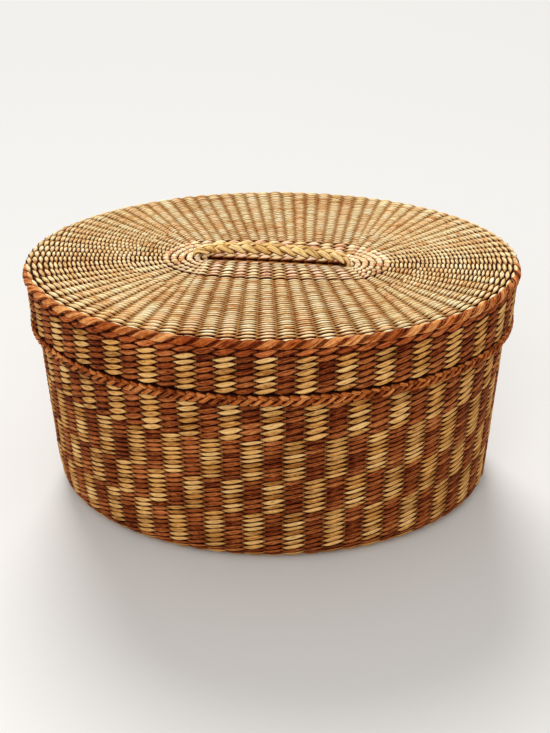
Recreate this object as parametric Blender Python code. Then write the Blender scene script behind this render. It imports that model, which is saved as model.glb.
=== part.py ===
"""An oval lidded basket, twined from rush over a frame of thin stakes, with a plaited handle on its lid.

Metres, +Z up. The origin is the centre of the underside, +X runs along the long axis of the oval and the
front is -Y. Every oval here is the one body oval, grown or shrunk by a margin that is added to both of its
half axes, so the courses stay a constant distance apart.
"""

from math import cos, pi, radians, sin

import bmesh
import bpy
from mathutils import Matrix, Vector

# Body: the oval is measured outside the wall at its widest, where the top band ends.
BODY_HALF_LENGTH = 0.1483
BODY_HALF_WIDTH = 0.1095
WALL = 0.0026
BASE_THICKNESS = 0.0026
WALL_TAPER = 0.0033
NECK_DRAW_IN = 0.0011
FOOT_RADIUS = 0.0120
BAND_HEIGHTS = {
    "wall_band_lowest": 0.0261,
    "wall_band_lower": 0.0244,
    "wall_band_upper": 0.0282,
    "wall_band_highest": 0.0293,
}
NECK_HEIGHT = 0.0273
BODY_RIM_HEIGHT = 0.0060
BODY_RIM_DEPTH = 0.0036

# Lid: it drops over the neck and rests on the body's rim. Its top is a little longer than its mouth.
LID_REST_GAP = 0.0003
LID_CLEARANCE = 0.0008
LID_WALL = 0.0026
LID_TOP_THICKNESS = 0.0034
LID_END_FLARE = 0.0019
ROPE_RADIUS = 0.00225
ROPE_BELOW_TOP = 0.0024
ROPE_PROUD = 0.0001
ROPE_END_FLARE = 0.0030
PLAIN_COURSE_HEIGHT = 0.0043
STRIPED_COURSES_HEIGHT = 0.0225
LID_RIM_HEIGHT = 0.0084
LID_RIM_DEPTH = 0.0033

# Start patches: the oval middles of base and lid, from which the stakes spread.
START_HALF_LENGTH = 0.0670
START_HALF_WIDTH = 0.0265
LID_START_CENTRE = (0.0000, -0.0072)
LID_START_TURN = radians(-7.0)
BASE_START_CENTRE = (0.0, 0.0)
BASE_START_TURN = 0.0

# Handle: three plaited strands between two bound ends, which go through the lid and are knotted below it.
HANDLE_CENTRE = (-0.0002, -0.0053)
HANDLE_TURN = radians(-8.2)
HANDLE_HALF_SPAN = 0.0468
HANDLE_RISE = 0.0082
HANDLE_END_RISE = 0.0036
STRAND_RADIUS = 0.0010
PLAIT_HALF_SWAY = 0.0024
PLAIT_HALF_LIFT = 0.0019
PLAIT_TURNS = 4
END_COLLAR_RADIUS = 0.0032
END_COLLAR_HEIGHT = 0.0062
END_SHANK_RADIUS = 0.0021
END_HOLE_CLEARANCE = 0.0004
END_KNOT_RADIUS = 0.0042
END_KNOT_HEIGHT = 0.0038

# Pieces that touch on the real basket are kept this far apart.
SEAT = 0.0003

# Fineness of the facets.
OVAL_STATIONS = 48
CORNER_STEPS = 4
ROPE_SIDES = 8
END_SIDES = 12
POINTS_PER_PLAIT_TURN = 12


def material(name, colour, roughness):
    """A plain matt finish of one colour."""
    made = bpy.data.materials.new(name)
    made.use_nodes = True
    shader = made.node_tree.nodes["Principled BSDF"]
    shader.inputs["Base Color"].default_value = (*colour, 1.0)
    shader.inputs["Roughness"].default_value = roughness
    shader.inputs["Metallic"].default_value = 0.0
    return made


def add_mesh(name, bm, finish):
    """Turns a bmesh into a named object with one finish and outward faces."""
    bmesh.ops.recalc_face_normals(bm, faces=bm.faces)
    mesh = bpy.data.meshes.new(name)
    bm.to_mesh(mesh)
    bm.free()
    mesh.shade_smooth()
    mesh.set_sharp_from_angle(angle=radians(35))
    mesh.materials.append(finish)
    piece = bpy.data.objects.new(name, mesh)
    bpy.context.scene.collection.objects.link(piece)
    return piece


def body_oval(margin, height, lengthening=0.0):
    """Points of the body oval, grown by a margin and then lengthened at both ends, at a height."""
    points = []
    for station in range(OVAL_STATIONS):
        angle = 2 * pi * station / OVAL_STATIONS
        x = (BODY_HALF_LENGTH + margin + lengthening) * cos(angle)
        y = (BODY_HALF_WIDTH + margin) * sin(angle)
        points.append(Vector((x, y, height)))
    return points


def start_oval(margin, height, centre, turn):
    """Points of a start patch's oval, turned about its own centre."""
    place = Matrix.Translation((*centre, height)) @ Matrix.Rotation(turn, 4, "Z")
    points = []
    for station in range(OVAL_STATIONS):
        angle = 2 * pi * station / OVAL_STATIONS - turn
        x = (START_HALF_LENGTH + margin) * cos(angle)
        y = (START_HALF_WIDTH + margin) * sin(angle)
        points.append(place @ Vector((x, y, 0.0)))
    return points


def skin(bm, lower, upper):
    """A band of faces between two loops of vertices."""
    for here in range(len(lower)):
        there = (here + 1) % len(lower)
        bm.faces.new((lower[here], lower[there], upper[there], upper[here]))


def ring(name, loops, finish):
    """A closed ring, whose section is the list of loops in order round it."""
    bm = bmesh.new()
    rows = [[bm.verts.new(point) for point in loop] for loop in loops]
    for row, next_row in zip(rows, rows[1:] + rows[:1]):
        skin(bm, row, next_row)
    return add_mesh(name, bm, finish)


def plate(name, bottom, top, finish):
    """A flat plate between two loops."""
    bm = bmesh.new()
    low = [bm.verts.new(point) for point in bottom]
    high = [bm.verts.new(point) for point in top]
    skin(bm, low, high)
    bm.faces.new(low)
    bm.faces.new(high)
    return add_mesh(name, bm, finish)


def rounded_section(outer, inner, bottom, top, rounding):
    """Section corners of a plaited border: a strip with both outer corners and the inner ones eased."""
    return [
        (inner + rounding, bottom),
        (outer - rounding, bottom),
        (outer, bottom + rounding),
        (outer, top - rounding),
        (outer - rounding, top),
        (inner + rounding, top),
        (inner, top - rounding),
        (inner, bottom + rounding),
    ]


# Heights up the body, from the flat underside.
BANDS_FOOT = FOOT_RADIUS
SHOULDER = BANDS_FOOT + sum(BAND_HEIGHTS.values())
NECK_TOP = SHOULDER + NECK_HEIGHT
BODY_HEIGHT = NECK_TOP + BODY_RIM_HEIGHT

# Heights down the lid, from its top.
LID_UNDERSIDE = BODY_HEIGHT + LID_REST_GAP
LID_TOP = LID_UNDERSIDE + LID_TOP_THICKNESS
ROPE_CENTRE = LID_TOP - ROPE_BELOW_TOP
LID_SIDE_TOP = ROPE_CENTRE - ROPE_RADIUS - SEAT
STRIPES_TOP = LID_SIDE_TOP - PLAIN_COURSE_HEIGHT - SEAT
LID_RIM_TOP = STRIPES_TOP - STRIPED_COURSES_HEIGHT - SEAT
LID_LINE = LID_RIM_TOP - LID_RIM_HEIGHT


def between(low, high, height):
    """The margin at a height on the straight line between two (height, margin) points."""
    share = (height - low[0]) / (high[0] - low[0])
    return low[1] + share * (high[1] - low[1])


def wall_margin(height):
    """How far the outside of the body wall lies from the body oval."""
    if height <= SHOULDER:
        return between((BANDS_FOOT, -WALL_TAPER), (SHOULDER, 0.0), height)
    return between((SHOULDER, 0.0), (BODY_HEIGHT, -NECK_DRAW_IN), height)


def lid_inner_margin(height):
    """How far the inside of the lid wall lies from the body oval: it flares towards its mouth."""
    low = (LID_LINE, LID_CLEARANCE)
    high = (LID_SIDE_TOP, LID_CLEARANCE - NECK_DRAW_IN)
    return between(low, high, height)


def lid_lengthening(height):
    """How much longer the lid's oval is, at each end, than the same margin makes it."""
    return between((LID_LINE, 0.0), (LID_SIDE_TOP, LID_END_FLARE), height)


def lid_oval(margin, height):
    """Points of the lid's oval, with a margin from the body oval."""
    return body_oval(margin, height, lid_lengthening(height))


def wall_course(name, bottom, top, outer_at, thickness, finish, oval=body_oval):
    """A band of woven courses between two heights."""
    section = [
        (outer_at(bottom) - thickness, bottom),
        (outer_at(bottom), bottom),
        (outer_at(top), top),
        (outer_at(top) - thickness, top),
    ]
    return ring(name, [oval(margin, height) for margin, height in section], finish)


def build_base(finish, foot_finish):
    """The start patch, the woven base round it, and the foot where the stakes turn up."""
    flat_edge = -WALL_TAPER - FOOT_RADIUS

    def start(margin, height):
        return start_oval(margin, height, BASE_START_CENTRE, BASE_START_TURN)

    plate("base_start_patch", start(0.0, 0.0), start(0.0, BASE_THICKNESS), finish)
    ring(
        "base_weave",
        [
            start(SEAT, 0.0),
            body_oval(flat_edge - SEAT, 0.0),
            body_oval(flat_edge - SEAT, BASE_THICKNESS),
            start(SEAT, BASE_THICKNESS),
        ],
        finish,
    )
    # The foot is a quarter round, whose inner face keeps the base's thickness below and the wall's above.
    turned_up = [pi / 2 * step / CORNER_STEPS for step in range(CORNER_STEPS + 1)]
    outside = []
    inside = []
    for angle in turned_up:
        outside.append((flat_edge + FOOT_RADIUS * sin(angle), FOOT_RADIUS * (1 - cos(angle))))
        across = (FOOT_RADIUS - WALL) * sin(angle)
        up = FOOT_RADIUS - (FOOT_RADIUS - BASE_THICKNESS) * cos(angle)
        inside.append((flat_edge + across, up))
    top_margin, top_height = outside[-1]
    outside[-1] = (top_margin, top_height - SEAT)
    inside[-1] = (inside[-1][0], inside[-1][1] - SEAT)
    section = outside + inside[::-1]
    ring("foot_courses", [body_oval(margin, height) for margin, height in section], foot_finish)


def build_wall(finish, rim_finish):
    """Four checkered bands, the plain neck that the lid covers, and the plaited rim."""
    height = BANDS_FOOT
    for name, band in BAND_HEIGHTS.items():
        wall_course(name, height, height + band - SEAT, wall_margin, WALL, finish)
        height += band
    wall_course("neck_courses", SHOULDER, NECK_TOP - SEAT, wall_margin, WALL, finish)
    outer = wall_margin(BODY_HEIGHT)
    section = rounded_section(
        outer, outer - BODY_RIM_DEPTH, NECK_TOP, BODY_HEIGHT, BODY_RIM_DEPTH / 4
    )
    ring("body_rim_plait", [body_oval(margin, height) for margin, height in section], rim_finish)


def build_lid_side(rope_finish, side_finish, rim_finish):
    """The edge rope, the plain and the striped courses below it, and the plaited rim at the mouth."""
    rope_margin = lid_inner_margin(LID_SIDE_TOP) + LID_WALL + ROPE_PROUD - ROPE_RADIUS
    loops = []
    for side in range(ROPE_SIDES):
        angle = 2 * pi * side / ROPE_SIDES
        margin = rope_margin + ROPE_RADIUS * cos(angle)
        height = ROPE_CENTRE + ROPE_RADIUS * sin(angle)
        loops.append(body_oval(margin, height, ROPE_END_FLARE))
    ring("lid_edge_rope", loops, rope_finish)

    def lid_outer_margin(height):
        return lid_inner_margin(height) + LID_WALL

    plain_bottom = STRIPES_TOP + SEAT
    wall_course(
        "lid_plain_course",
        plain_bottom,
        LID_SIDE_TOP,
        lid_outer_margin,
        LID_WALL,
        rope_finish,
        lid_oval,
    )
    stripes_bottom = LID_RIM_TOP + SEAT
    wall_course(
        "lid_striped_courses",
        stripes_bottom,
        STRIPES_TOP,
        lid_outer_margin,
        LID_WALL,
        side_finish,
        lid_oval,
    )
    inner = lid_inner_margin(LID_LINE)
    section = rounded_section(
        inner + LID_RIM_DEPTH, inner, LID_LINE, LID_RIM_TOP, LID_RIM_DEPTH / 4
    )
    ring("lid_rim_plait", [lid_oval(margin, height) for margin, height in section], rim_finish)
    return rope_margin


def build_lid_top(rope_margin, finish):
    """The start patch with the handle's two holes, and the weave from it out to the edge rope."""

    def start(margin, height):
        return start_oval(margin, height, LID_START_CENTRE, LID_START_TURN)

    edge = rope_margin - ROPE_RADIUS - SEAT
    ring(
        "lid_top_weave",
        [
            start(SEAT, LID_UNDERSIDE),
            body_oval(edge, LID_UNDERSIDE, ROPE_END_FLARE),
            body_oval(edge, LID_TOP, ROPE_END_FLARE),
            start(SEAT, LID_TOP),
        ],
        finish,
    )
    patch = plate("lid_start_patch", start(0.0, LID_UNDERSIDE), start(0.0, LID_TOP), finish)
    for side, place in handle_ends().items():
        bm = bmesh.new()
        bmesh.ops.create_cone(
            bm,
            cap_ends=True,
            segments=END_SIDES,
            radius1=END_SHANK_RADIUS + END_HOLE_CLEARANCE,
            radius2=END_SHANK_RADIUS + END_HOLE_CLEARANCE,
            depth=3 * LID_TOP_THICKNESS,
        )
        cutter = add_mesh("handle_hole_cutter_" + side, bm, finish)
        cutter.location = place - Vector((0.0, 0.0, LID_TOP_THICKNESS / 2))
        cutter.hide_render = True
        cutter.display_type = "WIRE"
        hole = patch.modifiers.new("handle_hole_" + side, "BOOLEAN")
        hole.operation = "DIFFERENCE"
        hole.object = cutter


def handle_ends():
    """Where the handle's two ends meet the top of the lid."""
    along = Matrix.Rotation(HANDLE_TURN, 3, "Z") @ Vector((HANDLE_HALF_SPAN, 0.0, 0.0))
    middle = Vector((*HANDLE_CENTRE, LID_TOP))
    return {"left": middle - along, "right": middle + along}


def build_handle_ends(finish):
    """Each end is bound into a collar on the lid, with a shank through the hole and a knot below."""
    knot_top = -LID_TOP_THICKNESS - SEAT
    knot_middle = knot_top - END_KNOT_HEIGHT / 2
    profile = [
        (0.0, knot_top - END_KNOT_HEIGHT),
        (0.6 * END_KNOT_RADIUS, knot_top - END_KNOT_HEIGHT),
        (END_KNOT_RADIUS, knot_middle),
        (0.7 * END_KNOT_RADIUS, knot_top),
        (END_SHANK_RADIUS, knot_top),
        (END_SHANK_RADIUS, SEAT),
        (END_COLLAR_RADIUS, SEAT),
        (END_COLLAR_RADIUS, 0.75 * END_COLLAR_HEIGHT),
        (0.6 * END_COLLAR_RADIUS, END_COLLAR_HEIGHT),
        (0.0, END_COLLAR_HEIGHT),
    ]
    for side, place in handle_ends().items():
        bm = bmesh.new()
        line = [bm.verts.new((radius, 0.0, height)) for radius, height in profile]
        edges = [bm.edges.new(pair) for pair in zip(line, line[1:])]
        bmesh.ops.spin(
            bm, geom=line + edges, axis=(0, 0, 1), cent=(0, 0, 0), steps=END_SIDES, angle=2 * pi
        )
        bmesh.ops.remove_doubles(bm, verts=bm.verts, dist=1e-6)
        end = add_mesh("handle_end_" + side, bm, finish)
        end.location = place


def plait_point(turn, phase):
    """A point of one strand, in the handle's own frame, after so many turns of the plait."""
    reach = HANDLE_HALF_SPAN - END_COLLAR_RADIUS - SEAT - STRAND_RADIUS / 2
    along = reach * (2 * turn / PLAIT_TURNS - 1)
    angle = 2 * pi * turn + phase
    arch = HANDLE_END_RISE + (HANDLE_RISE - HANDLE_END_RISE) * (1 - (along / reach) ** 2)
    return Vector((along, PLAIT_HALF_SWAY * sin(angle), arch + PLAIT_HALF_LIFT * sin(2 * angle)))


def build_handle_strands(finish):
    """Three strands, a third of a turn apart, plaited along the arch between the bound ends."""
    steps = PLAIT_TURNS * POINTS_PER_PLAIT_TURN
    for number in range(3):
        name = "handle_strand_" + str(number + 1)
        curve = bpy.data.curves.new(name, "CURVE")
        curve.dimensions = "3D"
        curve.bevel_depth = STRAND_RADIUS
        curve.bevel_resolution = 1
        curve.use_fill_caps = True
        curve.materials.append(finish)
        line = curve.splines.new("POLY")
        line.points.add(steps)
        for step, point in enumerate(line.points):
            turn = PLAIT_TURNS * step / steps
            point.co = (*plait_point(turn, 2 * pi * number / 3), 1.0)
        strand = bpy.data.objects.new(name, curve)
        strand.location = (*HANDLE_CENTRE, LID_TOP)
        strand.rotation_euler = (0.0, 0.0, HANDLE_TURN)
        bpy.context.scene.collection.objects.link(strand)


for old in list(bpy.data.objects):
    bpy.data.objects.remove(old)

pale_rush = material("pale_rush", (0.62, 0.44, 0.20), 0.60)
checkered_rush = material("checkered_rush", (0.36, 0.19, 0.07), 0.62)
brown_rush = material("brown_rush", (0.27, 0.10, 0.03), 0.60)
ochre_rush = material("ochre_rush", (0.46, 0.22, 0.06), 0.58)

build_base(pale_rush, brown_rush)
build_wall(checkered_rush, ochre_rush)
lid_rope_margin = build_lid_side(ochre_rush, checkered_rush, ochre_rush)
build_lid_top(lid_rope_margin, pale_rush)
build_handle_ends(pale_rush)
build_handle_strands(pale_rush)
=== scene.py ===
"""The oval lidded basket as it is twined: every weft strand laid round its stakes, row by row.

Metres, +Z up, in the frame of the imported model. The front is -Y. Columns are counted to the right from the
middle of the front, one for each stake.
"""

from math import cos, pi, radians, sin

import bmesh
import bpy
import numpy as np
from mathutils import Euler, Matrix, Vector


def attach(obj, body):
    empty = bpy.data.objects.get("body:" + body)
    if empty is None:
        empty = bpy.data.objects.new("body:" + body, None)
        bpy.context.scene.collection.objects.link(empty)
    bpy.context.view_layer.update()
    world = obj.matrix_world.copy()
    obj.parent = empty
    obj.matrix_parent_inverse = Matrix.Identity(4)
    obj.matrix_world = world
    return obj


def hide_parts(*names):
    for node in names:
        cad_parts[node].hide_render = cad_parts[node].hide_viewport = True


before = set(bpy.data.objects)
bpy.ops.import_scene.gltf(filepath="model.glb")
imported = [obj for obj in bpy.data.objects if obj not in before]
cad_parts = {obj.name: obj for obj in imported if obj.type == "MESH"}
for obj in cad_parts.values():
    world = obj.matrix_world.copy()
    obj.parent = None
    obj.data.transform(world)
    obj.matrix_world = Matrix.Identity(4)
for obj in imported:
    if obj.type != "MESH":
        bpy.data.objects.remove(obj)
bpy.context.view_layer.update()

# The oval and its stakes
# The stakes are thin upright ribs of split rush, which every weft strand goes round. In the body they start
# in the middle of the base, turn up at the foot and end under the plaited rim. Glimpses show between rows.
HALF_LENGTH = 0.1483
HALF_WIDTH = 0.1095
BODY_HEIGHT = 0.1533
SHOULDER = 0.1200
WALL_TAPER = 0.0033
NECK_DRAW_IN = 0.0011
WALL_HALF = 0.0013
FLAT_EDGE = -0.0153
FOOT_RADIUS = 0.0120
FOOT_MID_RADIUS = FOOT_RADIUS - WALL_HALF
FOOT_ARC = FOOT_MID_RADIUS * pi / 2
FOOT_DRAW_IN = 0.0020
FOOT_DRAW_TOP = 0.0250
FOOT_DRAW_SPREAD = 1.4
BODY_STAKES = 66
BODY_STAKE_SHIFT = 0.1
BACK_DRIFT = 0.78
SIDE_DRIFT = 0.40
BASE_SIDES = (10, 10)
BASE_SHIFT = BASE_SIDES[0] / 2 - 1 - BODY_STAKE_SHIFT
SLIT_HALF = 0.0425
STAKE_HALF_WIDTH = 0.0011
STAKE_HALF_DEPTH = 0.00022
STAKE_START = 0.1
STAKE_STITCHES = 12.0
STAKE_WAY_UP = 0.1488
FLAT_SIDES = 4
ROUND_SIDES = 8
OVAL_POINTS = 4001
MARK_GAP = 0.02
SAME_PLACE = 0.000001

table_angles = np.linspace(-pi / 2, 3 * pi / 2, OVAL_POINTS)
table_steps = np.hypot(HALF_LENGTH * np.sin(table_angles), HALF_WIDTH * np.cos(table_angles))
way_round = np.concatenate([[0.0], np.cumsum((table_steps[1:] + table_steps[:-1]) / 2)])
way_round = way_round / way_round[-1]


def unit(vectors):
    """The same vectors with a length of one."""
    return vectors / np.linalg.norm(vectors, axis=-1, keepdims=True)


def on_oval(share, margin, height, lengthening=0.0):
    """Points of the oval, and the directions straight out of it, at shares of the way round from the front.

    The left end of the foot was pulled in a little tighter than the right.
    """
    angle = np.interp(np.asarray(share, float) % 1.0, way_round, table_angles)
    pulled_in = FOOT_DRAW_IN * max(1.0 - height / FOOT_DRAW_TOP, 0.0)
    margin = margin - pulled_in * np.clip(-FOOT_DRAW_SPREAD * np.cos(angle), 0.0, 1.0)
    flat = np.zeros_like(angle)
    across = (HALF_LENGTH + margin + lengthening) * np.cos(angle)
    places = np.stack([across, (HALF_WIDTH + margin) * np.sin(angle), flat + height], -1)
    outward = unit(np.stack([HALF_WIDTH * np.cos(angle), HALF_LENGTH * np.sin(angle), flat], -1))
    return places, outward


def body_share(column):
    """How far round the body a column stands. The stakes are spaced by hand, so not quite evenly."""
    way = 2 * pi * np.asarray(column, float) / BODY_STAKES
    return (column + (BACK_DRIFT - SIDE_DRIFT * np.sin(way)) * (1 - np.cos(way))) / BODY_STAKES


def body_margin(height):
    """How far the outside of the body wall lies from the oval."""
    if height <= SHOULDER:
        return WALL_TAPER * (height - SHOULDER) / (SHOULDER - FOOT_RADIUS)
    return -NECK_DRAW_IN * (height - SHOULDER) / (BODY_HEIGHT - SHOULDER)


def body_profile(way_up):
    """Margin, height and outward slope of the wall's middle, so far up from the flat edge of the base."""
    if way_up < FOOT_ARC:
        turn = way_up / FOOT_MID_RADIUS
        margin = FLAT_EDGE + FOOT_MID_RADIUS * sin(turn)
        return margin, FOOT_RADIUS - FOOT_MID_RADIUS * cos(turn), turn
    height = FOOT_RADIUS + way_up - FOOT_ARC
    return body_margin(height) - WALL_HALF, height, pi / 2


def leaning(outward, turn):
    """The outward directions tipped from straight down, at no turn, to level, at a quarter turn."""
    return outward * sin(turn) + np.array([0.0, 0.0, -cos(turn)])


sheets = {}


def flat_sheet(stations, sides):
    """A flat sheet of faces with a UV map, ready to be rolled into a strand again and again."""
    if (stations, sides) not in sheets:
        bm = bmesh.new()
        bm.loops.layers.uv.new("strand")
        bmesh.ops.create_grid(bm, x_segments=stations, y_segments=sides, size=0.5, calc_uvs=True)
        mesh = bpy.data.meshes.new("sheet")
        bm.to_mesh(mesh)
        bm.free()
        flat = np.zeros(3 * len(mesh.vertices))
        mesh.vertices.foreach_get("co", flat)
        flat = flat.reshape(-1, 3) + 0.5
        marks = np.zeros(2 * len(mesh.loops))
        mesh.uv_layers["strand"].uv.foreach_get("vector", marks)
        station = np.rint(flat[:, 0] * stations).astype(int)
        sheets[(stations, sides)] = (mesh, station, 2 * pi * (flat[:, 1] - 0.25), marks.reshape(-1, 2))
    return sheets[(stations, sides)]


def fuller(share, power):
    """Swells a round section towards a rounded block, as a strand is when it is packed against others."""
    return np.sign(share) * np.abs(share) ** power


def lay_strand(bm, line, outward, half_depth, half_height, sides, counts, number, finish=0, power=0.8):
    """Rolls a strand along a line. Its UV map holds its number, and counts that are even where it shows."""
    mesh, station, turn, marks = flat_sheet(len(line) - 1, sides)
    if np.allclose(line[0], line[-1]):
        ahead = np.roll(line[:-1], -1, axis=0) - np.roll(line[:-1], 1, axis=0)
        ahead = np.vstack([ahead, ahead[:1]])
    else:
        ahead = np.gradient(line, axis=0)
    ahead = unit(ahead)
    upward = unit(np.cross(outward, ahead))
    outward = np.cross(ahead, upward)
    out = (half_depth[station] * fuller(np.cos(turn), power))[:, None] * outward[station]
    up = (half_height[station] * fuller(np.sin(turn), power))[:, None] * upward[station]
    places = (line[station] + out + up).astype(np.float32)
    mesh.vertices.foreach_set("co", places.ravel())
    along = counts[np.rint(marks[:, 0] * (len(line) - 1)).astype(int)]
    spread = np.stack([along, number + MARK_GAP + (1.0 - 2.0 * MARK_GAP) * marks[:, 1]], -1)
    mesh.uv_layers["strand"].uv.foreach_set("vector", spread.astype(np.float32).ravel())
    mesh.polygons.foreach_set("material_index", np.full(len(mesh.polygons), finish, np.int32))
    bm.from_mesh(mesh)


def lay_stake(bm, line, facing, number):
    """One flat stake along its points, drawn to a point at both ends."""
    count = len(line)
    width = np.full(count, STAKE_HALF_WIDTH)
    depth = np.full(count, STAKE_HALF_DEPTH)
    width[0] = width[-1] = depth[0] = depth[-1] = 0.0
    stitches = np.linspace(0.0, STAKE_STITCHES, count)
    lay_strand(bm, np.array(line), np.array(facing), depth, width, FLAT_SIDES, stitches, number)


def finish_piece(name, bm, finishes, body, nodes):
    """Closes the seams of the gathered strands and adds them to the scene as one smooth piece."""
    bmesh.ops.remove_doubles(bm, verts=bm.verts, dist=SAME_PLACE)
    mesh = bpy.data.meshes.new(name)
    bm.to_mesh(mesh)
    bm.free()
    mesh.shade_smooth()
    for finish in finishes:
        mesh.materials.append(finish)
    piece = bpy.data.objects.new(name, mesh)
    bpy.context.scene.collection.objects.link(piece)
    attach(piece, body)
    if nodes:
        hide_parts(*nodes)


def colour(red, green, blue):
    """A colour as a shader wants it, from the 0 to 255 values that a picture shows."""
    linear = []
    for value in (red, green, blue):
        share = value / 255
        linear.append(share / 12.92 if share <= 0.04045 else ((share + 0.055) / 1.055) ** 2.4)
    return (*linear, 1.0)


# Colours of painted shade: deep shade on what another strand hides, and shade at the edges of strands, where
# they press together.
DEEP_SHADE = (0.07, 0.012, 0.002, 1.0)
EDGE_SHADE = (0.26, 0.07, 0.012, 1.0)


def rush(
    name, dark, middle, light, tint, tint_share=0.5, shades=0.42, patchy=0.0, paler=0.0, edge=0.72,
    groove=0.10, less_shade_away=0.0, shown=0.42, fading=0.20, dive_shade=DEEP_SHADE, hiding=0.0
):
    """Dry split rush: each stitch has its own shade and some tint, with fibres and creases along it.

    Shades is how far the stitches differ. Patchy adds tint in blotches, and paler lightens the two ends of
    the oval. Across a strand, shade is painted from edge to groove, where strands press together, and less
    of it where the straw away from the front is painted as lit from behind. Along it, so much of a stitch
    is shown before it takes the painted shade of its dive, over a length of fading, and hiding paints deep
    shade on what another strand covers. The inner face is shaded as the outer one is.
    """
    made = bpy.data.materials.new(name)
    made.use_nodes = True
    nodes = made.node_tree.nodes
    join = made.node_tree.links.new
    shader = nodes["Principled BSDF"]

    def math(operation, first, second=None, third=None):
        """One sum, whose terms are numbers or the outputs of other nodes."""
        node = nodes.new("ShaderNodeMath")
        node.operation = operation
        for place, value in enumerate((first, second, third)):
            if isinstance(value, float):
                node.inputs[place].default_value = value
            elif value is not None:
                join(value, node.inputs[place])
        return node.outputs[0]

    def fade(value, start, end):
        """Goes smoothly from 0 at one value to 1 at another."""
        node = nodes.new("ShaderNodeMapRange")
        node.interpolation_type = "SMOOTHSTEP"
        node.inputs["From Min"].default_value = min(start, end)
        node.inputs["From Max"].default_value = max(start, end)
        node.inputs["To Min"].default_value = 0.0 if start < end else 1.0
        node.inputs["To Max"].default_value = 1.0 if start < end else 0.0
        join(value, node.inputs["Value"])
        return node.outputs["Result"]

    def noise(source, scale, detail, rough, stretch=(1.0, 1.0, 1.0)):
        """Cloudy noise, finer where its scale is larger."""
        mapping = nodes.new("ShaderNodeMapping")
        mapping.inputs["Scale"].default_value = stretch
        join(source, mapping.inputs["Vector"])
        node = nodes.new("ShaderNodeTexNoise")
        node.inputs["Scale"].default_value = scale
        node.inputs["Detail"].default_value = detail
        node.inputs["Roughness"].default_value = rough
        join(mapping.outputs[0], node.inputs["Vector"])
        return node.outputs["Fac"]

    def stain(share, under, over):
        """Multiplies one colour by another, as far as a share says."""
        node = nodes.new("ShaderNodeMix")
        node.data_type = "RGBA"
        node.blend_type = "MULTIPLY"
        join(share, node.inputs["Factor"])
        join(under, node.inputs["A"])
        node.inputs["B"].default_value = over
        return node.outputs["Result"]

    def parts(kind, source):
        """The outputs of a node that takes a place or a colour apart."""
        node = nodes.new(kind)
        join(source, node.inputs[0])
        return node.outputs

    strand_map = nodes.new("ShaderNodeUVMap")
    strand_map.uv_map = "strand"
    along = strand_map.outputs["UV"]
    place = nodes.new("ShaderNodeTexCoord").outputs["Object"]
    count, strand, _ = parts("ShaderNodeSeparateXYZ", along)
    right, back, _ = parts("ShaderNodeSeparateXYZ", place)

    stitch = nodes.new("ShaderNodeCombineXYZ")
    join(math("FLOOR", math("MULTIPLY_ADD", count, 0.5, 0.5)), stitch.inputs["X"])
    join(math("FLOOR", strand), stitch.inputs["Y"])
    chance = nodes.new("ShaderNodeTexWhiteNoise")
    chance.noise_dimensions = "2D"
    join(stitch.outputs[0], chance.inputs["Vector"])
    shade_chance, tint_chance, _ = parts("ShaderNodeSeparateColor", chance.outputs["Color"])

    fibres = noise(along, scale=1.0, detail=4.0, rough=0.65, stretch=(1.3, 18.0, 1.0))
    creases = noise(along, scale=1.0, detail=2.0, rough=0.5, stretch=(0.6, 6.0, 1.0))
    patches = noise(place, scale=38.0, detail=2.0, rough=0.5)
    specks = noise(place, scale=420.0, detail=2.0, rough=0.6)
    fold = fade(math("ABSOLUTE", math("SUBTRACT", creases, 0.5)), 0.05, 0.0)
    at_oval_ends = fade(math("ABSOLUTE", right), 0.035, 0.085)

    shade = math("MULTIPLY_ADD", shade_chance, shades, 0.5 - 0.5 * shades)
    shade = math("ADD", shade, math("MULTIPLY_ADD", fibres, 1.1, -0.55))
    shade = math("ADD", shade, math("MULTIPLY", fold, -0.35))
    shade = math("ADD", shade, math("MULTIPLY_ADD", patches, 0.5, -0.25))
    shade = math("ADD", shade, math("MULTIPLY_ADD", specks, 0.5, -0.25))
    shade = math("MULTIPLY_ADD", at_oval_ends, paler, shade)
    ramp = nodes.new("ShaderNodeValToRGB")
    join(shade, ramp.inputs[0])
    ramp.color_ramp.elements[0].position = 0.08
    ramp.color_ramp.elements[0].color = dark
    ramp.color_ramp.elements[1].position = 0.92
    ramp.color_ramp.elements[1].color = light
    ramp.color_ramp.elements.new(0.5).color = middle
    tinting = math("MULTIPLY", tint_chance, tint_share)
    if patchy:
        blotches = fade(noise(place, scale=48.0, detail=1.0, rough=0.5), 0.46, 0.60)
        tinting = math("MULTIPLY_ADD", blotches, patchy, tinting)
    tinted = stain(tinting, ramp.outputs["Color"], tint)

    facing = math("SINE", math("MULTIPLY", math("FRACT", strand), 2 * pi))
    at_edge = fade(math("ABSOLUTE", facing), edge, groove)
    # Painted shade at the edges of each strand. It is weaker where a rush asks for it on the ends and back of
    # the lid, which are painted as lit from behind.
    away = math("MAXIMUM", at_oval_ends, math("MULTIPLY", fade(back, 0.00, 0.05), 0.6))
    edge_shading = math("MULTIPLY", at_edge, math("MULTIPLY_ADD", away, -less_shade_away, 1.0))
    sunk = math("PINGPONG", math("ADD", count, math("LESS_THAN", facing, 0.0)), 1.0)
    edge_shaded = stain(edge_shading, tinted, EDGE_SHADE)
    # Painted shade where a stitch dives between its neighbours, and deep painted shade where another strand
    # covers it.
    dive_shaded = stain(fade(sunk, shown, shown + fading), edge_shaded, dive_shade)
    covered = stain(math("MULTIPLY", fade(sunk, 0.50, 0.60), hiding), dive_shaded, DEEP_SHADE)
    join(covered, shader.inputs["Base Color"])
    shader.inputs["Specular IOR Level"].default_value = 0.05

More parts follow.
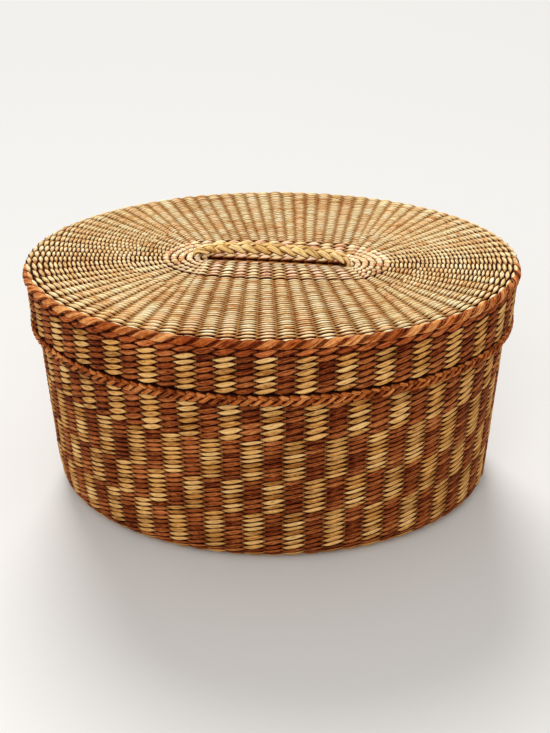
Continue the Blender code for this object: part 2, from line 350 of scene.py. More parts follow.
    join(math("MULTIPLY_ADD", fibres, 0.3, 0.55), shader.inputs["Roughness"])
    bump = nodes.new("ShaderNodeBump")
    bump.inputs["Strength"].default_value = 0.55
    bump.inputs["Distance"].default_value = 0.0003
    join(math("MULTIPLY_ADD", fibres, 0.6, math("MULTIPLY", fold, -0.5)), bump.inputs["Height"])
    join(bump.outputs["Normal"], shader.inputs["Normal"])
    return made


stake_rush = rush(
    "stake_rush", colour(52, 18, 4), colour(92, 42, 14), colour(128, 72, 32), colour(255, 220, 180)
)


def spoke_places(numbers, stakes, sides, centre, turn, edge):
    """Where base or lid stakes leave the slit of the start, and where they reach the edge.

    Sides are the numbers of stakes that leave its front and its back. The others leave its two ends.
    """
    numbers = np.asarray(numbers, float)
    at_ends = (stakes - sum(sides)) // 2
    corners = np.cumsum([0, sides[0] - 1, at_ends + 1, sides[1] - 1, at_ends + 1])
    along = SLIT_HALF * np.interp(numbers % stakes, corners, [-1.0, 1.0, 1.0, -1.0, -1.0])
    starts = np.stack([centre[0] + along * cos(turn), centre[1] + along * sin(turn)], -1)
    return starts, edge(numbers)[:, :2]


def spoke_line(stake, spokes, height):
    """The flat part of a stake: it starts a little way out from the slit and lies straight to the edge."""
    starts, edges = spoke_places([stake], **spokes)
    start = starts[0] + (edges[0] - starts[0]) * STAKE_START
    return [[*start, height], [*(0.5 * start + 0.5 * edges[0]), height], [*edges[0], height]]


def base_edge(numbers):
    """Where the stakes of the base reach the foot."""
    return on_oval(body_share(numbers - BASE_SHIFT), FLAT_EDGE, WALL_HALF)[0]


BASE_SPOKES = {
    "stakes": BODY_STAKES, "sides": BASE_SIDES, "centre": (0.0, 0.0), "turn": 0.0, "edge": base_edge,
}
round_foot = np.linspace(0.0, FOOT_ARC, 6)
up_wall = np.linspace(FOOT_ARC, STAKE_WAY_UP, 5)[1:]
bm = bmesh.new()
for stake in range(BODY_STAKES):
    line = spoke_line(stake, BASE_SPOKES, WALL_HALF)[:2]
    facing = [[0.0, 0.0, -1.0]] * 2
    for way_up in np.concatenate([round_foot, up_wall]):
        margin, height, turn = body_profile(way_up)
        point, outward = on_oval([body_share(stake - BASE_SHIFT)], margin, height)
        line.append(point[0])
        facing.append(leaning(outward, turn)[0])
    lay_stake(bm, line, facing, stake)
finish_piece("body_stakes", bm, [stake_rush], "basket", [])

# Base
# The base is twined outwards from a slit between ten stakes a side, and more are put in at the ends of the
# oval as the rows grow. In every row two strands go round together, one outside and one inside each stake,
# and cross between the stakes. So each stitch is an almond that leans a little and dives at its ends.
STATIONS_PER_COLUMN = 8
CORE_HALF_DEPTH = 0.00025
CORE_SHARE = 0.53
UNEVEN_FULLNESS = 0.16
UNEVEN_DEPTH = 0.08
UNEVEN_LEVEL = 0.05
START_EDGE = 0.0265
# Up to each distance from the slit, the first of an end's stakes that is in, and every so many after it.
END_STAKES = ((0.005, 3, 8), (0.009, 1, 4), (0.045, 1, 2), (1.0, 0, 1))
BASE_REACH = 0.0900
BASE_ROWS = 25
BASE_SLIT_GAP = 0.0012
BASE_MIDDLE_EDGE = 0.0600
BASE_STITCH = {"tilt": 0.12, "tips": 0.10, "full": 0.38, "sides": 6}


def lay_core(bm, places, outward, step, half_height, number, finish):
    """A thin dark band between a row's strands: their hidden middle, which lets no light through."""
    line = places[::step].copy()
    line[-1] = line[0]
    count = len(line)
    depth = np.full(count, CORE_HALF_DEPTH)
    height = np.broadcast_to(half_height, len(places))[::step]
    lay_strand(
        bm, line, outward[::step], depth, height, FLAT_SIDES, np.full(count, 0.5), number, finish, power=1.0
    )


def twined_row(
    bm, places, outward, pitch, column, number, finishes, chance, depth=WALL_HALF, tilt=0.27, tips=0.12,
    full=0.33, thick=0.50, power=0.8, taper=0.7, proud=1.0, sides=ROUND_SIDES
):
    """One row, whose places go round once. The first strand is outside where the column is even.

    The finishes are those of the two strands and of the core between them. Tilt is how far a stitch leans,
    and tips and full are half its height at its ends and in its middle, all as shares of the row's pitch.
    """
    ahead = np.roll(places[:-1], -1, axis=0) - np.roll(places[:-1], 1, axis=0)
    ahead = np.vstack([ahead, ahead[:1]])
    upward = unit(np.cross(outward, ahead))
    half_depth = thick * depth
    swing = depth - half_depth
    stitches = int(round(column[-1] - column[0])) // 2
    for strand in range(2):
        count = column - strand
        stitch = np.floor((count + 1) / 2).astype(int) % stitches
        taller, prouder, higher = (chance.uniform(-1.0, 1.0, stitches)[stitch] for _ in range(3))
        cosine = np.cos(pi * count)
        middle = np.abs(cosine)
        shown = full * (1.0 + UNEVEN_FULLNESS * taller) * middle**taper
        covered = (0.50 - tips) * np.minimum(5 * middle, 1.0)
        height = pitch * (tips + np.where(cosine > 0, shown, covered))
        swung = swing * np.where(cosine > 0, proud, -1.0) * middle**0.75
        side = swung + UNEVEN_DEPTH * depth * (prouder - 1.0) * middle
        rise = pitch * (tilt * np.sin(pi * count) + UNEVEN_LEVEL * higher * middle)
        line = places + outward * side[:, None] + upward * rise[:, None]
        line[-1] = line[0]
        lay_strand(
            bm, line, outward, half_depth * (0.8 + 0.2 * middle), height, sides, count, 2 * number + strand,
            finishes[strand], power
        )
    lay_core(bm, places, outward, STATIONS_PER_COLUMN, CORE_SHARE * pitch, 2 * number, finishes[2])


def row_heights(bottom, top, rows, chance, spread=0.09):
    """The middles and the pitches of rows that fill a band, no two quite as tall."""
    pitches = 1.0 + chance.uniform(-spread, spread, rows)
    pitches = pitches * (top - bottom) / pitches.sum()
    edges = bottom + np.concatenate([[0.0], np.cumsum(pitches)])
    return (edges[1:] + edges[:-1]) / 2, pitches


def columns_round(columns, shift):
    """Columns for one row, which starts and ends at a crossing at the back, and where they stand."""
    column = np.linspace(0.0, columns, columns * STATIONS_PER_COLUMN + 1) - 0.5 - columns // 2
    return column, column + shift


def oval_rows(stakes, sides, distance):
    """The numbers of the stakes that a row of base or lid goes round, at a distance from the slit.

    Near the slit only some of the stakes at the two ends are in, and from 45 mm on all of them.
    """
    at_ends = (stakes - sum(sides)) // 2
    first, step = next((first, step) for until, first, step in END_STAKES if distance < until)
    ends = np.arange(first, at_ends, step)
    at_back = np.linspace(0.0, sides[1] - 1, sides[0] if distance < START_EDGE else sides[1])
    starts = np.cumsum([0, sides[0], at_ends, sides[1]])
    return np.concatenate([np.arange(sides[0]), starts[1] + ends, starts[2] + at_back, starts[3] + ends])


def flat_row(
    bm, spokes, reach, distance, pitch, number, finishes, chance, stitch, level, half=WALL_HALF, faces=1.0,
    edge_roll=0.0, slit_dip=0.0, dip_reach=1.0, seam=0.0, plump=0.0
):
    """One row of the base or the lid's top: places lie along straight spokes from the slit to the edge.

    It faces up at 1 and down at -1. The edge rolls down, and the dip sinks the front of the slit and lifts
    its back. A seam parts the row from the next one in front, and plump fills it out at sides and back.
    """
    numbers = oval_rows(spokes["stakes"], spokes["sides"], distance)
    count = len(numbers)
    column, stand = columns_round(count, count // 2)
    spoke = np.interp(stand % count, np.arange(count + 1), np.append(numbers, spokes["stakes"]))
    starts, ends = spoke_places(spoke, **spokes)
    in_front = np.clip((starts[:, 1] - ends[:, 1]) / (0.5 * reach), -1.0, 1.0)
    parted = seam * np.clip(2.0 * in_front - 1.0, 0.0, 1.0)
    flat = starts + (ends - starts) * ((distance - 0.5 * parted) / reach)[:, None]
    dip = slit_dip * np.exp(-((distance / dip_reach) ** 2))
    sunk = dip * np.where(in_front > 0.0, in_front, 0.75 * in_front)
    rolled = edge_roll * np.clip(10.0 * distance / reach - 9.0, 0.0, 1.0) ** 2
    places = np.column_stack([flat, level - sunk - rolled])
    places[-1] = places[0]
    local = (pitch - parted) * np.linalg.norm(ends - starts, axis=1) / reach
    outward = np.tile([0.0, 0.0, faces], (len(places), 1))
    full = stitch["full"] + plump * (1.0 - np.clip(in_front, 0.0, 1.0))
    stitch = {**stitch, "full": full}
    twined_row(bm, places, outward, local, column, number, finishes, chance, half, **stitch)


base_pale = rush(
    "base_rush", colour(112, 74, 36), colour(174, 128, 74), colour(208, 164, 106), colour(255, 226, 176)
)
chance = np.random.RandomState(11)
middles, pitches = row_heights(BASE_SLIT_GAP, BASE_REACH, BASE_ROWS, chance, spread=0.06)
for name, node, first, last in (
    ("base_start", "base_start_patch", 0.0, START_EDGE),
    ("base_inner_rows", "base_weave", START_EDGE, BASE_MIDDLE_EDGE),
    ("base_outer_rows", "base_weave", BASE_MIDDLE_EDGE, BASE_REACH),
):
    bm = bmesh.new()
    for number, (distance, pitch) in enumerate(zip(middles, pitches)):
        if first <= distance < last:
            flat_row(
                bm, BASE_SPOKES, BASE_REACH, distance, pitch, number, (0, 0, 1), chance, BASE_STITCH,
                level=WALL_HALF, faces=-1.0
            )
    finish_piece(name, bm, [base_pale, stake_rush], "basket", [node])

# Foot
# The foot turns up from the base and is twined of the wall's two rushes, one natural and one dyed brown. Its
# last rows show under the wall: a pale one at the very edge, then brown ones.
FOOT_FINISHES = ((0, 0, 2), (0, 0, 2), (0, 0, 2), (1, 0, 2), (1, 1, 2))
FOOT_TOP_GAP = 0.0015
ROW_WAVER = 0.00025
ROW_WAVES = 3
ROW_WAVE_SHIFT = 30

pale_wall = rush(
    "pale_wall_rush", colour(142, 88, 34), colour(212, 162, 94), colour(244, 208, 144), colour(255, 222, 165)
)
brown_wall = rush(
    "brown_wall_rush", colour(76, 20, 4), colour(156, 84, 38), colour(216, 144, 84), colour(225, 165, 125)
)
checker = [pale_wall, brown_wall, stake_rush]


def body_row(bm, way_up, pitch, shift, number, finishes, chance):
    """One row of the body, so far up from the flat edge of the base. It wavers a little up and down."""
    column, stand = columns_round(BODY_STAKES, BODY_STAKE_SHIFT)
    margin, height, turn = body_profile(way_up)
    places, outward = on_oval(body_share(stand), margin, height)
    wave = np.sin(2 * pi * ROW_WAVES * stand / BODY_STAKES + height * ROW_WAVE_SHIFT)
    places[:, 2] += ROW_WAVER * wave * sin(turn)
    places[-1] = places[0]
    twined_row(bm, places, leaning(outward, turn), pitch, column - shift, number, finishes, chance)


chance = np.random.RandomState(12)
bm = bmesh.new()
ways_up, pitches = row_heights(0.0, FOOT_ARC - FOOT_TOP_GAP, len(FOOT_FINISHES), chance, spread=0.03)
for number, (way_up, pitch, finishes) in enumerate(zip(ways_up, pitches, FOOT_FINISHES)):
    body_row(bm, way_up, pitch, 0, number, finishes, chance)
finish_piece("foot_rows", bm, checker, "basket", ["foot_courses"])

# Wall and neck
# The wall is four bands of a pale and a brown strand. At each new band the strands change places, which makes
# the checker. The neck goes on above, inside the lid.
NECK_TOP = 0.1473
# Node, bottom, top, rows, and by how many columns the two strands change places.
BANDS = (
    ("wall_band_lowest", 0.0105, 0.0381, 8, 1),
    ("wall_band_lower", 0.0381, 0.0625, 7, 0),
    ("wall_band_upper", 0.0625, 0.0907, 9, 1),
    ("wall_band_highest", 0.0907, SHOULDER, 7, 0),
    ("neck_courses", SHOULDER, NECK_TOP, 7, 0),
)
for band, (node, bottom, top, rows, shift) in enumerate(BANDS):
    chance = np.random.RandomState(20 + band)
    bm = bmesh.new()
    heights, pitches = row_heights(bottom, top, rows, chance)
    for number, (height, pitch) in enumerate(zip(heights, pitches)):
        body_row(bm, height - FOOT_RADIUS + FOOT_ARC, pitch, shift, number, (0, 1, 2), chance)
    finish_piece(node + "_rows", bm, checker, "basket", [node])

# Plaited border of the basket
# The turned-over ends of the stakes are worked into a flat three-strand plait, of undyed rush gone
# orange-brown with handling. The lid's mouth has the same border, only broader.
BORDER_STATIONS = 14
BORDER_HALF_DEPTH = 0.0009
BORDER_CORE_SHARE = 1.45
BORDER_FRONT_DEPTH = 0.1
BORDER_FRONT_WIDTH = 0.15
BORDER_UNEVEN_WIDTH = 0.18
BORDER_UNEVEN_LEVEL = 0.08
BORDER_UNEVEN_TURN = 0.012
RIM_HEIGHT = 0.1503
RIM_MARGIN = 0.0018

border_rush = rush(
    "border_rush", colour(88, 28, 4), colour(180, 102, 44), colour(232, 164, 98), colour(240, 190, 140),
    shown=0.85, edge=0.9
)


def plait_strand(places, outward, upward, turns, sway, lift, rising, leaving, skew=0.15, bend=0.4):
    """One strand of a bowed plait, which way it faces and how far it has turned.

    Rising is the share of its time on the way up, and leaving the share of each way that it takes out of the
    middle. It sways that far up and down, and lifts that far to pass over and under the others.
    """
    falling = 1.0 - rising
    times = [0.0, (1.0 - leaving) * rising, rising, rising + (1.0 - leaving) * falling, 1.0]
    turn = np.floor(turns) + np.interp(turns % 1.0, times, [0.0, 0.25, 0.5, 0.75, 1.0])
    angle = 2 * pi * (turn - 0.25)
    aside = 0.9 * (np.sin(angle) - np.sin(3 * angle) / 9) + skew * np.cos(2 * angle)
    bow = bend * aside
    out = sway * (np.cos(bow) - 1.0) / bend + lift * np.sin(2 * angle)
    line = places + upward * (sway * np.sin(bow) / bend)[:, None] + outward * out[:, None]
    return line, outward * np.cos(bow)[:, None] + upward * np.sin(bow)[:, None], turn


def border_plait(bm, share_to_place, turns, sway, lift, half_width, chance):
    """A closed plait round the oval, which starts at the back, with a dark core between its strands."""
    share = np.linspace(0.5, 1.5, turns * BORDER_STATIONS + 1)
    places, outward = share_to_place(share)
    upward = np.tile([0.0, 0.0, 1.0], (len(places), 1))
    knots = np.linspace(0.5, 1.5, 4 * turns + 1)
    for strand in range(3):
        broader, higher, longer = (
            np.interp(share, knots, np.append(values, values[0]))
            for values in chance.uniform(-1, 1, (3, 4 * turns))
        )
        turned = turns * share + strand / 3 + BORDER_UNEVEN_TURN * longer
        line, away, turn = plait_strand(
            places, outward, upward, turned, sway, -lift, rising=0.66, leaving=0.32, skew=0.34
        )
        line = line + upward * (BORDER_UNEVEN_LEVEL * sway * higher)[:, None]
        line[-1] = line[0]
        counts = 4 * turn - 0.5
        in_front = np.cos(pi * counts)
        width = half_width * (1.0 + BORDER_UNEVEN_WIDTH * broader + BORDER_FRONT_WIDTH * in_front)
        depth = BORDER_HALF_DEPTH * (1.0 + BORDER_FRONT_DEPTH * in_front)
        lay_strand(bm, line, away, depth, width, ROUND_SIDES, counts, strand)
    lay_core(bm, places, outward, BORDER_STATIONS // 2, BORDER_CORE_SHARE * sway, 3, 1)


bm = bmesh.new()
border_plait(
    bm, lambda share: on_oval(share, body_margin(RIM_HEIGHT) - RIM_MARGIN, RIM_HEIGHT), turns=46, sway=0.0017,
    lift=0.0007, half_width=0.00110, chance=np.random.RandomState(31)
)
finish_piece("body_rim", bm, [border_rush, stake_rush], "basket", ["body_rim_plait"])

# Stakes of the lid
# The lid has 84 stakes. Thirteen leave the front of its start's slit, which was laid a little askew, and
# nineteen the back. The others were put in at its two ends. All turn down at the edge, into the lid's side.
LID_STAKES = 84
LID_FRONT_STAKES = 36
LID_SIDES = (13, 19)
LID_SHIFT = 5.2
LID_FRONT_DRIFT = 0.07
LID_SIDE_DRIFT = 0.38
LID_CENTRE = (0.0036, -0.0072)
LID_TURN = radians(-7.0)
LID_LINE = 0.11625
LID_SIDE_TOP = 0.15205
LID_UNDERSIDE = 0.1536
LID_TOP = 0.1570
LID_MIDDLE = (LID_UNDERSIDE + LID_TOP) / 2
LID_HALF = (LID_TOP - LID_UNDERSIDE) / 2
LID_EDGE = -0.0004
LID_OVERHANG = 0.0020
LID_MOUTH_MARGIN = 0.0008
LID_TAPER = 0.0011
LID_END_FLARE = 0.0019
ROPE_END_FLARE = 0.0030
LID_STAKE_HEIGHTS = (0.1500, 0.1380, 0.1270, 0.1190)


def lid_share(column):
    """How far round the lid a column stands. The stakes stand closer at the back than at the front."""
    front = np.arange(LID_FRONT_STAKES + 1) - LID_FRONT_STAKES / 2
    leaned = front + LID_FRONT_DRIFT - LID_SIDE_DRIFT * np.sin(pi * front / LID_FRONT_STAKES)
    shares = leaned / (2 * LID_FRONT_STAKES)
    column = (np.asarray(column, float) - front[0]) % LID_STAKES + front[0]
    return np.interp(column, np.append(front, front[0] + LID_STAKES), np.append(shares, shares[0] + 1.0))


def on_lid_side(share, height, margin=WALL_HALF):
    """Points of the lid's side, a margin out from its inner face: the top is shorter across, and longer."""
    share_up = (height - LID_LINE) / (LID_SIDE_TOP - LID_LINE)
    return on_oval(share, LID_MOUTH_MARGIN - LID_TAPER * share_up + margin, height, LID_END_FLARE * share_up)


def behind(share):
    """Goes from 0 along the front of the lid to 1 along its back, where the top's rows hide the rope."""
    back = np.clip(0.5 - 1.6 * np.cos(2 * pi * share) + 0.25, 0.0, 1.0)
    return back * back * (3.0 - 2.0 * back)


def lid_edge(numbers):
    """Where the stakes of the lid reach the rope round its edge."""
    share = lid_share(numbers - LID_SHIFT)
    return on_oval(share, LID_EDGE + LID_OVERHANG * behind(share), LID_MIDDLE, ROPE_END_FLARE)[0]


LID_SPOKES = {
    "stakes": LID_STAKES, "sides": LID_SIDES, "centre": LID_CENTRE, "turn": LID_TURN, "edge": lid_edge,
}
bm = bmesh.new()
for stake in range(LID_STAKES):
    line = spoke_line(stake, LID_SPOKES, LID_MIDDLE)
    facing = [[0.0, 0.0, 1.0]] * 3
    for height in LID_STAKE_HEIGHTS:
        point, outward = on_lid_side([lid_share(stake - LID_SHIFT)], height)
        line.append(point[0])
        facing.append(outward[0])
    lay_stake(bm, line, facing, stake)
finish_piece("lid_stakes", bm, [stake_rush], "lid", [])

# Top of the lid
# The start is twined of yellow and of pinkish straw, in broad rows, and the rest of yellow and of warmer
# straw, in fine ones. A seam shows between the two in front. A flat strand under the slit closes it.
LID_REACH = 0.1040
LID_SLIT_GAP = 0.0003
LID_START_ROWS = 6
# Rows from the slit outwards, and how tall they are beside each other.
LID_ROW_SHARES = ((LID_START_ROWS, 4.4), (25, 2.5), (4, 3.3))
LID_UNEVEN_ROWS = 0.04
LID_MIDDLE_EDGE = 0.0560
LID_OUTER_EDGE = 0.0775
LID_STITCH = {
    "tilt": 0.18, "tips": 0.07, "full": 0.30, "thick": 0.62, "power": 1.0, "taper": 1.0, "proud": 1.5,
}
LID_EDGE_ROLL = 0.0010
SLIT_DIP = 0.0014
SLIT_DIP_REACH = 0.0070
START_SEAM = 0.0016
START_PLUMP = 0.17
SLIT_STRAND_POINTS = 9
SLIT_STRAND_ARCH = 0.0012
SLIT_STRAND_LIFT = 0.0004
SLIT_STRAND_HALF_DEPTH = 0.0005
SLIT_STRAND_HALF_WIDTH = 0.0030
# How far along a stitch the strand under the slit counts. This puts it in the painted dive shade, as the slit
# lies in shadow.
SLIT_STRAND_SHADE_COUNT = 0.52
SLIT_STRAND_NUMBER = 90

# The straws' tones and their painted shade at edges, dives and covered parts. There is less of that shade at
# the ends and back of the lid.
STRAW_TONE_AND_SHADE = {
    "shades": 0.26, "patchy": 0.20, "edge": 0.84, "groove": 0.42, "less_shade_away": 0.80, "shown": 0.16,
    "fading": 0.38, "dive_shade": (0.58, 0.36, 0.15, 1.0), "hiding": 1.0,
}
yellow_straw = rush(
    "yellow_straw", colour(204, 142, 68), colour(255, 240, 186), colour(255, 255, 236), colour(255, 226, 194),
    tint_share=0.30, **STRAW_TONE_AND_SHADE
)
pink_straw = rush(
    "pink_straw", colour(198, 128, 76), colour(255, 228, 188), colour(255, 250, 226), colour(255, 214, 186),
    tint_share=0.30, **STRAW_TONE_AND_SHADE
)
warm_straw = rush(
    "warm_straw", colour(204, 140, 70), colour(255, 236, 184), colour(255, 254, 230), colour(255, 220, 188),
    tint_share=0.50, **STRAW_TONE_AND_SHADE
)
lid_straws = [yellow_straw, pink_straw, warm_straw, stake_rush]


def lay_slit_strand(bm):
    """The flat strand along under the slit, arched a little so that it fills the slit."""
    count = SLIT_STRAND_POINTS
    line = np.linspace([-1.0, 0.0, 0.0], [1.0, 0.0, 0.0], count) * SLIT_HALF
    line[:, 2] = SLIT_STRAND_ARCH * (1.0 - (line[:, 0] / SLIT_HALF) ** 4)
    turned = np.array(Matrix.Rotation(LID_TURN, 3, "Z"))
    line = line @ turned.T + np.array([*LID_CENTRE, LID_UNDERSIDE + SLIT_STRAND_LIFT])
    upward = np.tile([0.0, 0.0, 1.0], (count, 1))
    depth = np.full(count, SLIT_STRAND_HALF_DEPTH)
    width = np.full(count, SLIT_STRAND_HALF_WIDTH)
    shown = np.full(count, SLIT_STRAND_SHADE_COUNT)
    lay_strand(bm, line, upward, depth, width, ROUND_SIDES, shown, SLIT_STRAND_NUMBER, finish=1)


chance = np.random.RandomState(41)
growing = np.concatenate([np.full(rows, share) for rows, share in LID_ROW_SHARES])
growing = growing * (1.0 + chance.uniform(-LID_UNEVEN_ROWS, LID_UNEVEN_ROWS, len(growing)))
growing = growing * (LID_REACH - LID_SLIT_GAP) / growing.sum()
edges = LID_SLIT_GAP + np.concatenate([[0.0], np.cumsum(growing)])
for name, node, first, last in (
    ("lid_start", "lid_start_patch", 0.0, START_EDGE),
    ("lid_inner_rows", "lid_top_weave", START_EDGE, LID_MIDDLE_EDGE),
    ("lid_outer_rows", "lid_top_weave", LID_MIDDLE_EDGE, LID_OUTER_EDGE),
    ("lid_edge_rows", "lid_top_weave", LID_OUTER_EDGE, LID_REACH),
):
    bm = bmesh.new()
    for number, pitch in enumerate(growing):
        distance = (edges[number] + edges[number + 1]) / 2
        if first <= distance < last:
            in_start = number < LID_START_ROWS
            finishes = (0, 1, 3) if in_start else (0, 2, 3)
            flat_row(
                bm, LID_SPOKES, LID_REACH, distance, pitch, number, finishes, chance, LID_STITCH,
                level=LID_MIDDLE, half=LID_HALF, edge_roll=LID_EDGE_ROLL, slit_dip=SLIT_DIP,
                dip_reach=SLIT_DIP_REACH, seam=START_SEAM * (number == LID_START_ROWS - 1),
                plump=START_PLUMP * in_start
            )
    if name == "lid_start":
        lay_slit_strand(bm)
    finish_piece(name, bm, lid_straws, "lid", [node])

# Rope round the lid
# A thick rope of three brown strands is twined round the edge, where the stakes turn down. Along the back it
# is tucked in under the last rows of the top.
ROPE_LOBES = 72
ROPE_STATIONS = 6
ROPE_SIDES = 10
ROPE_CENTRE = 0.1546
ROPE_MARGIN = 0.0005
ROPE_TUCK_IN = 0.0016
ROPE_TUCK_DOWN = 0.0024
ROPE_SWING = 0.0015
ROPE_PHASE = 0.125
ROPE_LINGER = 0.4
ROPE_ROLL = radians(25.0)
ROPE_HALF_WIDTH = 0.0007
ROPE_BROADER = 0.0019
ROPE_HALF_DEPTH = 0.0009
ROPE_DEEPER = 0.0004

rope_rush = rush(
    "rope_rush", colour(100, 30, 4), colour(178, 94, 38), colour(244, 186, 116), colour(244, 190, 130),
    shown=1.5, edge=0.80, paler=0.16
)
bm = bmesh.new()
column = np.linspace(0.0, ROPE_LOBES, ROPE_LOBES * ROPE_STATIONS + 1) - ROPE_LOBES / 2
tucked = behind(column / ROPE_LOBES)
margin = ROPE_MARGIN - ROPE_TUCK_IN * tucked
places, outward = on_oval(column / ROPE_LOBES, margin, ROPE_CENTRE, ROPE_END_FLARE)
places[:, 2] -= ROPE_TUCK_DOWN * tucked
upward = np.tile([0.0, 0.0, 1.0], (len(places), 1))
for strand in range(3):
    turns = (column + strand + 0.5) / 3 - ROPE_PHASE
    angle = 2 * pi * turns + ROPE_LINGER * np.sin(2 * pi * turns) + ROPE_ROLL
    away = outward * np.cos(angle)[:, None] + upward * np.sin(angle)[:, None]
    line = places + ROPE_SWING * away
    line[-1] = line[0]
    in_front = np.maximum(np.cos(2 * pi * turns), 0.0)
    width = ROPE_HALF_WIDTH + ROPE_BROADER * in_front**0.8
    depth = ROPE_HALF_DEPTH + ROPE_DEEPER * in_front
    lay_strand(bm, line, away, depth, width, ROPE_SIDES, 2 * turns, strand, power=1.0)
finish_piece("lid_edge_rope_strands", bm, [rope_rush], "lid", ["lid_edge_rope"])

# Side of the lid
# One plain brown row comes under the rope, then six rows of stripes, in which pale stitch stands over pale
# stitch. The lid's mouth ends in a plaited border like the basket's, but broader.
LID_SIDE_SHIFT = -0.3
PLAIN_ROW_HEIGHT = 0.1500
PLAIN_ROW_PITCH = 0.0044
STRIPE_ROWS = 6
STRIPES_TOP = 0.14745
LID_RIM_TOP = 0.12465
LID_BORDER_UP = 0.0045
LID_BORDER_MARGIN = 0.00165

plain_rush = rush(
    "plain_rush", colour(84, 24, 4), colour(176, 92, 42), colour(232, 156, 92), colour(225, 165, 125)
)


def lid_row(bm, height, pitch, number, finishes, chance):
    """One row of the lid's side."""
    column, stand = columns_round(LID_STAKES, LID_SIDE_SHIFT)
    places, outward = on_lid_side(lid_share(stand), height)
    places[-1] = places[0]
    twined_row(bm, places, outward, pitch, column, number, finishes, chance)


chance = np.random.RandomState(51)
bm = bmesh.new()
lid_row(bm, PLAIN_ROW_HEIGHT, PLAIN_ROW_PITCH, 0, (0, 0, 1), chance)
finish_piece("lid_plain_row", bm, [plain_rush, stake_rush], "lid", ["lid_plain_course"])

bm = bmesh.new()
heights, pitches = row_heights(LID_RIM_TOP, STRIPES_TOP, STRIPE_ROWS, chance, spread=0.12)
for number, (height, pitch) in enumerate(zip(heights, pitches)):
    lid_row(bm, height, pitch, number, (0, 1, 2), chance)
finish_piece("lid_striped_rows", bm, checker, "lid", ["lid_striped_courses"])

bm = bmesh.new()
border_plait(
    bm, lambda share: on_lid_side(share, LID_LINE + LID_BORDER_UP, LID_BORDER_MARGIN), turns=48, sway=0.0027,
    lift=0.00090, half_width=0.00125, chance=np.random.RandomState(52)
)
finish_piece("lid_rim", bm, [border_rush, stake_rush], "lid", ["lid_rim_plait"])

# Handle
# A flat plait of three fat bundles of pale straw, arched over the middle of the lid. Its ends dive through
# the lid at the ends of the slit and are knotted below.
HANDLE_CENTRE = (-0.0002, -0.0053)
HANDLE_TURN = radians(-8.2)
HANDLE_ROLL = radians(20.0)
HANDLE_REACH = 0.0468
HANDLE_RISE = 0.0069
HANDLE_DIVE = 0.0060
HANDLE_ARCH_POINTS = 145
HANDLE_DIVE_POINTS = 8
HANDLE_STATIONS = 160
HANDLE_SIDES = 10
HANDLE_TURNS = 4.7
HANDLE_SWAY = 0.0024
HANDLE_LIFT = 0.0014
HANDLE_HALF_WIDTH = 0.0022
HANDLE_HALF_DEPTH = 0.0013
HANDLE_TAPER = 0.16
KNOT_TURNS = 2.5
KNOT_POINTS = 61
KNOT_RADIUS = 0.0022
KNOT_TOP = -0.0034
KNOT_DEPTH = 0.0028
KNOT_HALF = 0.0011

handle_straw = rush(
    "handle_straw", colour(160, 108, 40), colour(252, 216, 146), colour(255, 252, 204), colour(255, 230, 170),
    shown=0.62, fading=0.30, edge=0.90, groove=0.46
)
handle_turned = np.array(Matrix.Rotation(HANDLE_TURN, 3, "Z"))


def on_lid(line):
    """Points of the handle, turned askew and set on the lid."""
    return line @ handle_turned.T + np.array([*HANDLE_CENTRE, LID_TOP])


angle = np.linspace(-pi / 2, pi / 2, HANDLE_ARCH_POINTS)
along = HANDLE_REACH * np.sign(np.sin(angle)) * np.abs(np.sin(angle)) ** 0.9
rise = HANDLE_RISE * np.abs(np.cos(angle)) ** 0.75
dive = np.linspace(HANDLE_DIVE, 0.0, HANDLE_DIVE_POINTS + 1)[:-1]
at_end = np.full(HANDLE_DIVE_POINTS, HANDLE_REACH)
along = np.concatenate([-at_end, along, at_end])
rise = np.concatenate([-dive, rise, -dive[::-1]])
places = np.stack([along, 0.0 * along, rise], -1)
share = np.concatenate([[0.0], np.cumsum(np.linalg.norm(np.diff(places, axis=0), axis=1))])
share = share / share[-1]
even = np.linspace(0.0, 1.0, HANDLE_STATIONS + 1)
places = np.stack([np.interp(even, share, places[:, axis]) for axis in range(3)], -1)
ahead = unit(np.gradient(places, axis=0))
upward = np.tile([0.0, 1.0, 0.0], (len(places), 1))
outward = np.cross(ahead, upward)
upward, outward = (
    cos(HANDLE_ROLL) * upward + sin(HANDLE_ROLL) * outward,
    cos(HANDLE_ROLL) * outward - sin(HANDLE_ROLL) * upward,
)
narrow = np.clip(np.minimum(even, 1.0 - even) / HANDLE_TAPER, 0.0, 1.0) ** 0.7
bm = bmesh.new()
for strand in range(3):
    sway = HANDLE_SWAY * (0.25 + 0.75 * narrow)
    line, away, turn = plait_strand(
        places, outward, upward, HANDLE_TURNS * even + strand / 3, sway, HANDLE_LIFT, rising=0.42,
        leaving=0.92, skew=0.1, bend=0.6
    )
    counts = 4 * turn + 0.5
    width = HANDLE_HALF_WIDTH * (0.5 + 0.5 * narrow) * (0.82 + 0.28 * np.cos(pi * counts))
    depth = HANDLE_HALF_DEPTH * (0.8 + 0.2 * narrow)
    width[0] = width[-1] = depth[0] = depth[-1] = 0.0
    lay_strand(
        bm, on_lid(line), away @ handle_turned.T, depth, width, HANDLE_SIDES, counts, strand, power=0.9
    )
finish_piece(
    "handle_plait", bm, [handle_straw], "lid",
    ["handle_strand_1", "handle_strand_2", "handle_strand_3"]
)

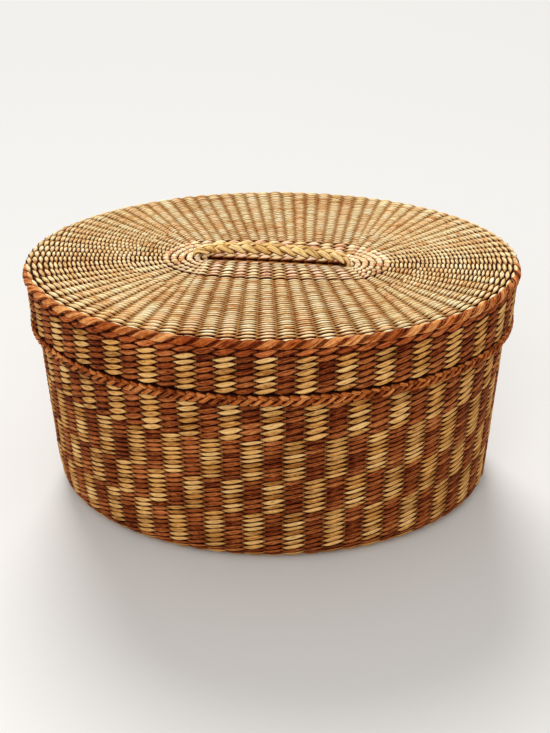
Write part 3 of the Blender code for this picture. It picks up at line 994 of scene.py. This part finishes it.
turn = np.linspace(0.0, 2 * pi * KNOT_TURNS, KNOT_POINTS)
away = np.stack([np.cos(turn), np.sin(turn), 0.0 * turn], -1)
down = KNOT_TOP - KNOT_DEPTH * turn / turn[-1]
thick = np.full(KNOT_POINTS, KNOT_HALF)
thick[0] = thick[-1] = 0.0
for side, centre in (("left", -HANDLE_REACH), ("right", HANDLE_REACH)):
    bm = bmesh.new()
    line = np.stack([KNOT_RADIUS * np.cos(turn) + centre, KNOT_RADIUS * np.sin(turn), down], -1)
    lay_strand(bm, on_lid(line), away @ handle_turned.T, thick, thick, ROUND_SIDES, 0.0 * turn, 0)
    finish_piece("handle_knot_" + side, bm, [handle_straw], "lid", ["handle_end_" + side])

# Floor, lights and camera
# A plain pale floor in a pale room, with a broad soft sun from high behind and a weak lamp in front. The
# camera looks down by thirty degrees on the front of the basket, as the photograph does.
FLOOR_HALF = 6.0
ROOM_LIGHT = 0.60
LAMP_SIZE = 0.9
SUN_SPREAD = radians(30.0)
EYE_PLACE = (0.00176, -0.6174, 0.4378)
EYE_YAW = 0.007
EYE_TILT = radians(60.0)
EYE_ROLL = -0.005

bm = bmesh.new()
bmesh.ops.create_grid(bm, x_segments=1, y_segments=1, size=FLOOR_HALF)
mesh = bpy.data.meshes.new("floor")
bm.to_mesh(mesh)
bm.free()
floor = bpy.data.objects.new("floor", mesh)
bpy.context.scene.collection.objects.link(floor)
floor_paint = bpy.data.materials.new("floor_paint")
floor_paint.use_nodes = True
floor_paint.node_tree.nodes["Principled BSDF"].inputs["Base Color"].default_value = (0.72, 0.71, 0.69, 1.0)
floor_paint.node_tree.nodes["Principled BSDF"].inputs["Roughness"].default_value = 0.9
mesh.materials.append(floor_paint)

world = bpy.data.worlds.new("room")
bpy.context.scene.world = world
world.use_nodes = True
world.node_tree.nodes["Background"].inputs["Color"].default_value = (1.0, 0.99, 0.97, 1.0)
world.node_tree.nodes["Background"].inputs["Strength"].default_value = ROOM_LIGHT


def hang_light(name, kind, place, aim, energy):
    """A light at a place, which faces what it aims at."""
    light = bpy.data.lights.new(name, kind)
    light.energy = energy
    holder = bpy.data.objects.new(name, light)
    holder.location = place
    holder.rotation_euler = (Vector(aim) - Vector(place)).to_track_quat("-Z", "Y").to_euler()
    bpy.context.scene.collection.objects.link(holder)
    return light


front_fill = hang_light("front_fill", "AREA", place=(-0.20, -1.1, 1.0), aim=(0.0, 0.0, 0.1), energy=7.0)
front_fill.size = LAMP_SIZE
high_light = hang_light("high_light", "SUN", place=(-0.35, 1.9, 1.85), aim=(0.0, 0.0, 0.0), energy=2.5)
high_light.angle = SUN_SPREAD

camera = bpy.data.cameras.new("camera")
camera.lens = 53.39
camera.sensor_width = 36.0
camera.shift_y = -0.0079
camera.clip_start = 0.05
camera.clip_end = 30.0
eye = bpy.data.objects.new("camera", camera)
yawed = Matrix.Rotation(EYE_YAW, 3, "Z")
tilted = Euler((EYE_TILT, 0.0, 0.0)).to_matrix()
rolled = Matrix.Rotation(EYE_ROLL, 3, "Z")
eye.location = yawed @ Vector(EYE_PLACE)
eye.rotation_euler = (yawed @ tilted @ rolled).to_euler()
bpy.context.scene.collection.objects.link(eye)
bpy.context.scene.camera = eye
bpy.context.scene.view_settings.view_transform = "Standard"
